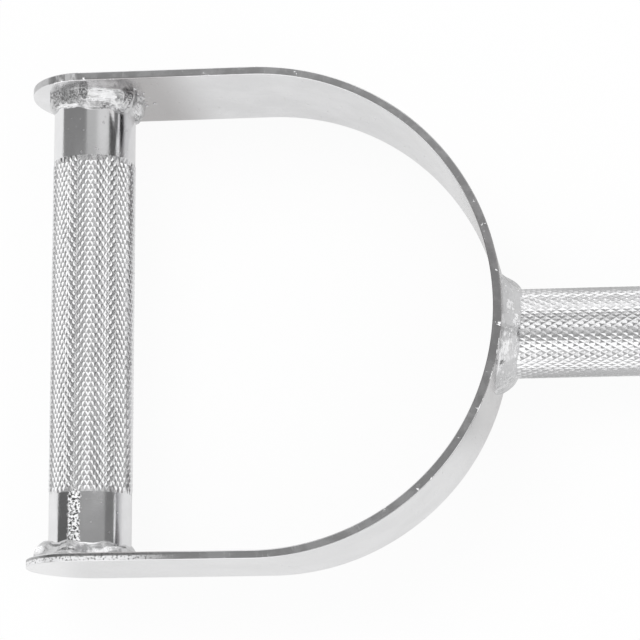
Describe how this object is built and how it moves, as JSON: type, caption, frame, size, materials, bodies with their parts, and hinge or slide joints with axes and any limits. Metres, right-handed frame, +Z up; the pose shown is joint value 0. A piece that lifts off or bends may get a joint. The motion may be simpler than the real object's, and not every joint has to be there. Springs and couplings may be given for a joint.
{
  "type": "straight cable bar",
  "caption": "Straight knurled bar with a closed D handle welded at each end and a revolving hanger eye at its middle, for a cable machine.",
  "frame": {"origin": "on the surface that the bar lies on, under the middle of the bar", "axes": "+X along the bar, +Y along the grips, +Z up, square to the plane of the two D handles"},
  "size_m": [0.964, 0.16, 0.0508],
  "materials": {
    "chrome": "bright chrome plate over bent strip, lightly scuffed",
    "knurl": "chrome plate over diamond knurling",
    "weld": "chrome plate over rippled weld beads",
    "nylon": "black nylon",
    "black_oxide": "black oxide steel"
  },
  "bodies": {
    "frame": {"cross_bar": "knurl", "left_handle_band": "chrome", "right_handle_band": "chrome", "left_grip": "knurl", "right_grip": "knurl", "left_grip_front_weld": "weld", "left_grip_back_weld": "weld", "right_grip_front_weld": "weld", "right_grip_back_weld": "weld", "left_bar_weld": "weld", "right_bar_weld": "weld", "left_stop_collar": "chrome", "right_stop_collar": "chrome", "left_set_screw": "black_oxide", "right_set_screw": "black_oxide"},
    "hanger": {"hanger_sleeve": "chrome", "hanger_eye": "chrome", "hanger_lower_weld": "weld", "hanger_upper_weld": "weld", "left_bushing": "nylon", "right_bushing": "nylon"}
  },
  "joints": [
    {"name": "hanger_spin", "type": "hinge", "parent": "frame", "child": "hanger", "pos_m": [0, 0, 0.0254], "axis": [1, 0, 0], "continuous": true}
  ]
}
